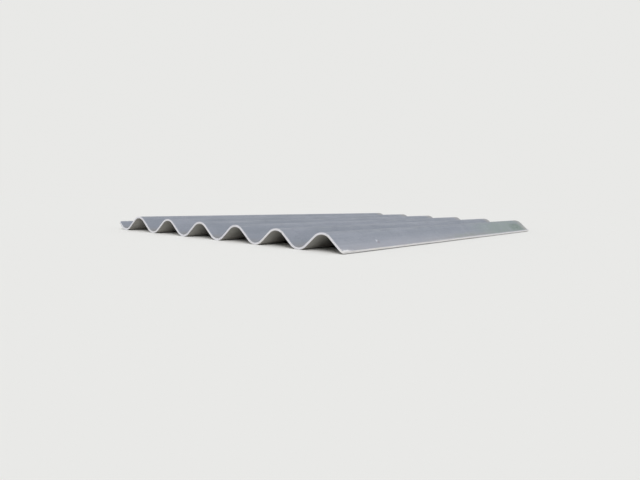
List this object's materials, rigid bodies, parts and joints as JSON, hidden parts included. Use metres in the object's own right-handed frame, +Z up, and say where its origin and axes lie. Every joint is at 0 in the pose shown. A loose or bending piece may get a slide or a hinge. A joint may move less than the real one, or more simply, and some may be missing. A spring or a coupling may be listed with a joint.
{
  "type": "corrugated fibre cement sheet",
  "caption": "Corrugated roofing sheet of fibre cement with deep rounded waves, one long edge turned up and the other turned down, coated on its upper face.",
  "frame": {"origin": "on the floor, under the middle of the sheet as it lies on its valleys", "axes": "+X across the waves, towards the edge that turns down; +Y along the waves; +Z up, out of the coated face"},
  "size_m": [1.1001, 1.83, 0.0575],
  "materials": {
    "fibre_cement": "matt blue-grey coat on the upper face, weathered; raw grey cement underneath and on the cut edges"
  },
  "bodies": {
    "root": {"corrugated_sheet": "fibre_cement"}
  },
  "joints": []
}
